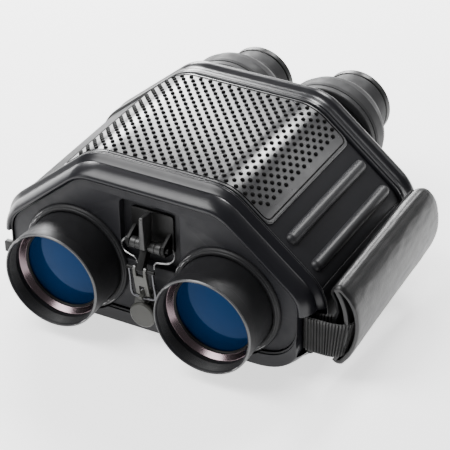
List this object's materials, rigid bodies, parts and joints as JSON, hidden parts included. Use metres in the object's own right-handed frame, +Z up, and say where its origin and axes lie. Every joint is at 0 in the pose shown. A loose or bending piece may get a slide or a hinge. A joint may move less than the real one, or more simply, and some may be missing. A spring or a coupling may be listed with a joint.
{
  "type": "binoculars",
  "caption": "Wide armoured stabilised binoculars with two hooded objectives, pivoting eyepieces, a latched battery cap and a padded side hand strap.",
  "frame": {"origin": "middle of the flat underside, between the four base screws", "axes": "+Z up, -Y the way the objectives look, +Y the eyepieces, +X the user's left, where the hand strap is"},
  "size_m": [0.2203, 0.2196, 0.099],
  "materials": {
    "armour": "satin moulded armour",
    "bezel": "satin moulded bumper",
    "panel": "fine matte texture",
    "grip": "satin sheet with dark dimples",
    "barrel": "satin black",
    "ring": "dark mauve satin",
    "coated_glass": "blue coated, polished",
    "glass": "polished",
    "rubber": "soft mid-grey",
    "black_rubber": "soft black",
    "steel": "bright drawn",
    "dark_metal": "dark satin",
    "aluminium": "machined",
    "brass": "machined",
    "webbing": "ribbed webbing",
    "leather": "smooth padded leather",
    "board": "solder mask",
    "cell": "shrink wrap"
  },
  "bodies": {
    "body": {"upper_casing": "armour", "lower_casing": "armour", "grip_plate": "grip", "base_plate": "armour", "tripod_bush": "brass", "base_screw_1": "steel", "base_screw_2": "steel", "base_screw_3": "steel", "base_screw_4": "steel", "front_bezel": "bezel", "rear_bezel": "bezel", "front_panel": "panel", "rear_panel": "panel", "objective_barrel_left": "barrel", "objective_barrel_right": "barrel", "objective_collar_left": "barrel", "objective_collar_right": "barrel", "lens_ring_left": "ring", "lens_ring_right": "ring", "objective_lens_left": "coated_glass", "objective_lens_right": "coated_glass", "latch_bracket": "dark_metal", "latch_pin": "steel", "battery_cap": "dark_metal", "battery_tube": "aluminium", "battery_cell_1": "cell", "battery_cell_2": "cell", "battery_cell_3": "cell", "strap_webbing": "webbing", "strap_pad": "leather", "strap_bar_front_left": "steel", "strap_bar_rear_left": "steel", "strap_bar_front_right": "steel", "strap_bar_rear_right": "steel", "gimbal_bearing": "brass", "circuit_board": "board"},
    "eyepiece_left": {"eyepiece_housing_left": "black_rubber", "eyepiece_boot_left": "rubber"},
    "eyepiece_right": {"eyepiece_housing_right": "black_rubber", "eyepiece_boot_right": "rubber"},
    "diopter_left": {"diopter_ring_left": "rubber", "eyecup_left": "black_rubber", "eye_lens_left": "glass"},
    "diopter_right": {"diopter_ring_right": "rubber", "eyecup_right": "black_rubber", "eye_lens_right": "glass"},
    "power_button": {"power_button": "black_rubber"},
    "latch_lever": {"latch_lever": "dark_metal", "latch_spring_left": "steel", "latch_spring_right": "steel"},
    "latch_bail": {"latch_bail": "steel", "bail_plate": "steel"},
    "gimbal_frame": {"gimbal_frame": "aluminium"},
    "gimbal_cradle": {"gimbal_cradle": "aluminium", "prism_left": "glass", "prism_right": "glass", "gyro_housing": "dark_metal"},
    "gyro_rotor": {"gyro_rotor": "brass"}
  },
  "joints": [
    {"name": "ipd_left", "type": "hinge", "parent": "body", "child": "eyepiece_left", "pos_m": [0.0466, 0.0668, 0.0365], "axis": [0, 1, 0], "range_deg": [0, 12]},
    {"name": "ipd_right", "type": "hinge", "parent": "body", "child": "eyepiece_right", "pos_m": [-0.0466, 0.0668, 0.0365], "axis": [0, 1, 0], "range_deg": [-12, 0]},
    {"name": "diopter_left", "type": "hinge", "parent": "eyepiece_left", "child": "diopter_left", "pos_m": [0.0322, 0.11, 0.0571], "axis": [0, 1, 0], "range_deg": [-60, 60]},
    {"name": "diopter_right", "type": "hinge", "parent": "eyepiece_right", "child": "diopter_right", "pos_m": [-0.0322, 0.11, 0.0571], "axis": [0, 1, 0], "range_deg": [-60, 60]},
    {"name": "button_press", "type": "slide", "parent": "body", "child": "power_button", "axis": [0, -1, 0], "range_m": [0, 0.0015], "stiffness_N_per_m": 300, "springref_m": -0.002},
    {"name": "lever_swing", "type": "hinge", "parent": "body", "child": "latch_lever", "pos_m": [0, -0.0667, 0.059], "axis": [1, 0, 0], "range_deg": [0, 35]},
    {"name": "bail_swing", "type": "hinge", "parent": "latch_lever", "child": "latch_bail", "pos_m": [0, -0.0743, 0.048], "axis": [1, 0, 0], "range_deg": [-91, 0]},
    {"name": "gimbal_yaw", "type": "hinge", "parent": "body", "child": "gimbal_frame", "pos_m": [0, 0, 0.088], "axis": [0, 0, 1], "range_deg": [-5, 5]},
    {"name": "gimbal_pitch", "type": "hinge", "parent": "gimbal_frame", "child": "gimbal_cradle", "pos_m": [0, 0, 0.048], "axis": [1, 0, 0], "range_deg": [-5, 5]},
    {"name": "gyro_spin", "type": "hinge", "parent": "gimbal_cradle", "child": "gyro_rotor", "pos_m": [0, 0, 0.056], "axis": [0, 1, 0], "continuous": true}
  ],
  "couplings": [
    {"joint": "ipd_right", "follows": "ipd_left", "ratio": -1},
    {"joint": "bail_swing", "follows": "lever_swing", "ratio": -2.6}
  ]
}
